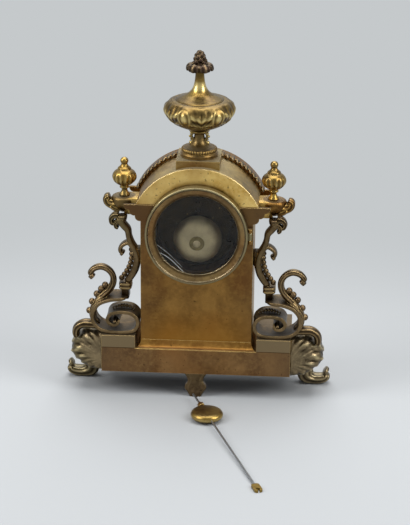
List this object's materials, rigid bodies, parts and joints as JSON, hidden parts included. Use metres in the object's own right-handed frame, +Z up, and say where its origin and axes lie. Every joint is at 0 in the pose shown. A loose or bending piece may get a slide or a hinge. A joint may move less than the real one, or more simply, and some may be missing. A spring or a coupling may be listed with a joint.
{
  "type": "pendulette clock",
  "caption": "Cast brass mantel clock with an arched case, an urn on top, scroll brackets, leafy feet, a hinged glazed door behind, a striking movement and a loose pendulum.",
  "frame": {"origin": "on the table, midway between the base's front and rear faces and its two ends", "axes": "+Z up, -Y the way the dial faces, +Y the way the glazed rear door faces"},
  "size_m": [0.277, 0.2827, 0.3616],
  "materials": {
    "patinated_brass": "brown patina",
    "gilt_brass": "worn gilt",
    "movement_brass": "dull",
    "steel": "satin",
    "blued_steel": "blued",
    "bell_metal": "tarnished",
    "glass": "clear",
    "enamel": "gloss"
  },
  "bodies": {
    "case": {"base_box": "patinated_brass", "rear_foot": "patinated_brass", "foot_left": "patinated_brass", "foot_right": "patinated_brass", "waist_moulding": "gilt_brass", "case_shell": "patinated_brass", "front_panel": "patinated_brass", "rear_panel": "patinated_brass", "rear_tympanum": "gilt_brass", "console_left": "patinated_brass", "console_right": "patinated_brass", "finial_left": "gilt_brass", "finial_right": "gilt_brass", "upper_scroll_left": "patinated_brass", "upper_scroll_right": "patinated_brass", "lower_scroll_left": "patinated_brass", "lower_scroll_right": "patinated_brass", "urn_plinth": "patinated_brass", "urn_foot": "gilt_brass", "urn_bowl": "gilt_brass", "urn_neck": "patinated_brass", "urn_bud": "gilt_brass", "urn_rod": "steel", "front_collar": "movement_brass", "rear_collar": "movement_brass", "movement_straps": "movement_brass", "case_screws": "steel", "hinge_pins": "steel", "dial": "enamel", "front_plate": "movement_brass", "back_plate": "movement_brass", "plate_pillars": "movement_brass", "bell": "bell_metal", "bell_stand": "movement_brass", "suspension": "movement_brass"},
    "rear_door": {"rear_door_ring": "gilt_brass", "rear_glass": "glass"},
    "bezel": {"front_bezel": "gilt_brass", "front_glass": "glass"},
    "going_drum": {"going_barrel": "movement_brass"},
    "going_winder": {"going_winding_arbor": "steel"},
    "centre": {"centre_wheel": "movement_brass"},
    "third": {"third_wheel": "movement_brass"},
    "escape": {"escape_wheel": "movement_brass"},
    "verge": {"anchor": "steel"},
    "strike_drum": {"strike_barrel": "movement_brass"},
    "strike_winder": {"strike_winding_arbor": "steel"},
    "strike_second": {"strike_second_wheel": "movement_brass"},
    "pins": {"pin_wheel": "movement_brass"},
    "fan": {"fly": "steel"},
    "striker": {"hammer": "steel"},
    "minute": {"cannon_pinion": "steel", "minute_hand": "blued_steel", "hand_nut": "movement_brass"},
    "minute_idler": {"minute_wheel": "movement_brass"},
    "hour": {"hour_wheel": "movement_brass", "hour_hand": "blued_steel"},
    "pendulum": {"pendulum_rod": "steel", "pendulum_bob": "movement_brass", "rating_nut": "movement_brass"}
  },
  "joints": [
    {"name": "rear_door_swing", "type": "hinge", "parent": "case", "child": "rear_door", "pos_m": [-0.054, 0.0333, 0.178], "axis": [0, 0, 1], "range_deg": [0, 110]},
    {"name": "front_bezel_swing", "type": "hinge", "parent": "case", "child": "bezel", "pos_m": [0.054, -0.0333, 0.178], "axis": [0, 0, 1], "range_deg": [0, 110]},
    {"name": "minute_turn", "type": "hinge", "parent": "case", "child": "minute", "pos_m": [0, 0, 0.178], "axis": [0, 1, 0], "continuous": true},
    {"name": "minute_wheel_turn", "type": "hinge", "parent": "case", "child": "minute_idler", "pos_m": [0, 0, 0.188], "axis": [0, 1, 0], "continuous": true},
    {"name": "hour_turn", "type": "hinge", "parent": "case", "child": "hour", "pos_m": [0, 0, 0.178], "axis": [0, 1, 0], "continuous": true},
    {"name": "escape_turn", "type": "hinge", "parent": "case", "child": "escape", "pos_m": [0, 0, 0.203], "axis": [0, 1, 0], "continuous": true},
    {"name": "third_turn", "type": "hinge", "parent": "case", "child": "third", "pos_m": [0.011, 0, 0.192], "axis": [0, 1, 0], "continuous": true},
    {"name": "centre_turn", "type": "hinge", "parent": "case", "child": "centre", "pos_m": [0, 0, 0.178], "axis": [0, 1, 0], "continuous": true},
    {"name": "going_barrel_turn", "type": "hinge", "parent": "case", "child": "going_drum", "pos_m": [0.0195, 0, 0.167], "axis": [0, 1, 0], "continuous": true},
    {"name": "going_wind", "type": "hinge", "parent": "case", "child": "going_winder", "pos_m": [0.0195, 0, 0.167], "axis": [0, 1, 0], "continuous": true},
    {"name": "anchor_swing", "type": "hinge", "parent": "case", "child": "verge", "pos_m": [0, 0, 0.2155], "axis": [0, 1, 0], "range_deg": [-3, 3]},
    {"name": "fly_turn", "type": "hinge", "parent": "case", "child": "fan", "pos_m": [-0.0313, 0, 0.1935], "axis": [0, 1, 0], "continuous": true},
    {"name": "pin_wheel_turn", "type": "hinge", "parent": "case", "child": "pins", "pos_m": [-0.0215, 0, 0.1995], "axis": [0, 1, 0], "continuous": true},
    {"name": "strike_second_turn", "type": "hinge", "parent": "case", "child": "strike_second", "pos_m": [-0.015, 0, 0.1885], "axis": [0, 1, 0], "continuous": true},
    {"name": "strike_barrel_turn", "type": "hinge", "parent": "case", "child": "strike_drum", "pos_m": [-0.0195, 0, 0.167], "axis": [0, 1, 0], "continuous": true},
    {"name": "strike_wind", "type": "hinge", "parent": "case", "child": "strike_winder", "pos_m": [-0.0195, 0, 0.167], "axis": [0, 1, 0], "continuous": true},
    {"name": "hammer_lift", "type": "hinge", "parent": "case", "child": "striker", "pos_m": [-0.0345, 0, 0.186], "axis": [0, 1, 0], "range_deg": [0, 10]},
    {"name": "pendulum_lift", "type": "slide", "parent": "case", "child": "pendulum", "axis": [0, 0, 1], "range_m": [0, 0.15]}
  ],
  "couplings": [
    {"joint": "minute_wheel_turn", "follows": "minute_turn", "ratio": -0.33333},
    {"joint": "hour_turn", "follows": "minute_turn", "ratio": 0.083333},
    {"joint": "third_turn", "follows": "escape_turn", "ratio": -0.081395},
    {"joint": "centre_turn", "follows": "escape_turn", "ratio": 0.0067829},
    {"joint": "going_barrel_turn", "follows": "escape_turn", "ratio": -0.0011305},
    {"joint": "pin_wheel_turn", "follows": "fly_turn", "ratio": -0.11667},
    {"joint": "strike_second_turn", "follows": "fly_turn", "ratio": 0.012963},
    {"joint": "strike_barrel_turn", "follows": "fly_turn", "ratio": -0.0018519}
  ]
}
